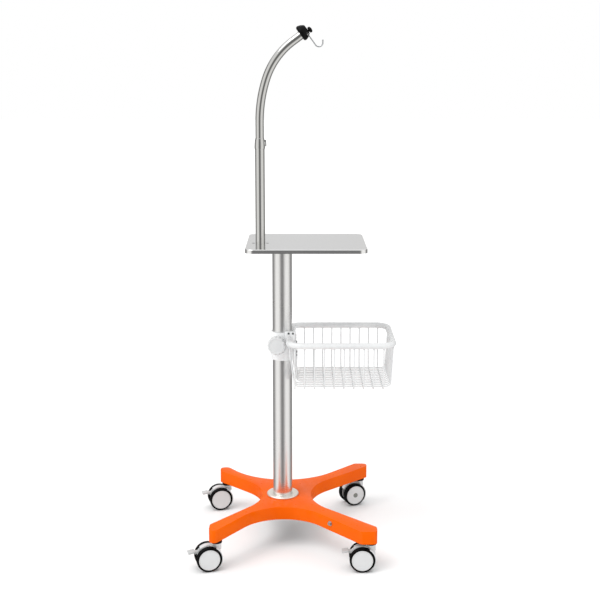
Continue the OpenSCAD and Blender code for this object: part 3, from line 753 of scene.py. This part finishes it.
FLOOR_HALF = 30.0
FLOOR_DROP = 0.0003
FLOOR_WHITE = (0.90, 0.90, 0.90, 1.0)
floor_mesh = bpy.data.meshes.new("studio_floor")
bm = bmesh.new()
bmesh.ops.create_grid(bm, x_segments=1, y_segments=1, size=FLOOR_HALF)
bm.to_mesh(floor_mesh)
bm.free()
floor = add_object("studio_floor", floor_mesh)
floor.location.z = -FLOOR_DROP
floor_look = Shader("studio_floor").put(Base_Color=FLOOR_WHITE, Roughness=0.9, Specular_IOR_Level=0.0)
floor.data.materials.append(floor_look.mat)
floor.visible_glossy = False

world = bpy.data.worlds.new("studio")
bpy.context.scene.world = world
world.use_nodes = True
tree = world.node_tree
background = tree.nodes["Background"]
direction = tree.nodes.new("ShaderNodeTexCoord").outputs["Generated"]
split = tree.nodes.new("ShaderNodeSeparateXYZ")
tree.links.new(direction, split.inputs[0])


def maths(kind, a, b=None):
    n = tree.nodes.new("ShaderNodeMath")
    n.operation = kind
    for socket, value in zip(n.inputs, (a, b)):
        if isinstance(value, bpy.types.NodeSocket):
            tree.links.new(value, socket)
        elif value is not None:
            socket.default_value = value
    return n.outputs[0]


# azimuth away from the camera side, 0 towards the camera and 1 straight behind
towards = maths("MULTIPLY", split.outputs[1], -1.0)
azimuth = maths("DIVIDE", maths("ABSOLUTE", maths("ARCTAN2", split.outputs[0], towards)), math.pi)
ramp = tree.nodes.new("ShaderNodeValToRGB")
tree.links.new(azimuth, ramp.inputs[0])
stops = (
    (0.00, 0.20), (0.08, 0.24), (0.19, 1.06), (0.44, 1.08),
    (0.60, 0.30), (0.84, 0.26), (0.93, 0.70), (1.00, 0.74),
)
ramp.color_ramp.elements[0].position = stops[0][0]
ramp.color_ramp.elements[0].color = (stops[0][1],) * 3 + (1.0,)
ramp.color_ramp.elements[1].position = stops[-1][0]
ramp.color_ramp.elements[1].color = (stops[-1][1],) * 3 + (1.0,)
for at, level in stops[1:-1]:
    e = ramp.color_ramp.elements.new(at)
    e.color = (level, level * 0.99, level * 0.97, 1.0)
WHITE = (1.0, 1.0, 1.0, 1.0)


def mixed(factor, a, b):
    n = tree.nodes.new("ShaderNodeMix")
    n.data_type = "RGBA"
    tree.links.new(factor, n.inputs[0])
    for socket, value in ((n.inputs[6], a), (n.inputs[7], b)):
        if isinstance(value, bpy.types.NodeSocket):
            tree.links.new(value, socket)
        else:
            socket.default_value = value
    return n.outputs[2]


# the ceiling is bright; below the horizon the walls' pattern goes on, since the floor isn't mirrored
OVERHEAD_FROM = 0.35
OVERHEAD_FULL = 0.62
overhead = tree.nodes.new("ShaderNodeMapRange")
overhead.interpolation_type = "SMOOTHSTEP"
tree.links.new(split.outputs[2], overhead.inputs["Value"])
overhead.inputs["From Min"].default_value = OVERHEAD_FROM
overhead.inputs["From Max"].default_value = OVERHEAD_FULL
walls = mixed(overhead.outputs["Result"], ramp.outputs[0], WHITE)
glossy = tree.nodes.new("ShaderNodeLightPath").outputs["Is Glossy Ray"]
tree.links.new(mixed(glossy, WHITE, walls), background.inputs["Color"])
background.inputs["Strength"].default_value = 1.0


def sun(name, direction, strength, angle):
    data = bpy.data.lights.new(name, "SUN")
    data.energy = strength
    data.angle = math.radians(angle)
    lamp = add_object(name, data)
    lamp.rotation_euler = Vector(direction).to_track_quat("-Z", "Y").to_euler()


sun("key", (0.50, 0.34, -0.90), 1.25, 38.0)

# --------------------------------------------------------------- the camera

CAMERA_AT = Vector((0.0543, -3.246, 1.4442))
CAMERA_PITCH = 0.181
data = bpy.data.cameras.new("camera")
data.lens = 65.0
data.sensor_width = 36.0
data.shift_y = -0.05
data.clip_end = 200.0
camera = add_object("camera", data)
camera.location = column + CAMERA_AT
camera.rotation_euler = (math.pi / 2 - CAMERA_PITCH, 0.0, 0.0)
bpy.context.scene.camera = camera
bpy.context.scene.view_settings.view_transform = "Standard"
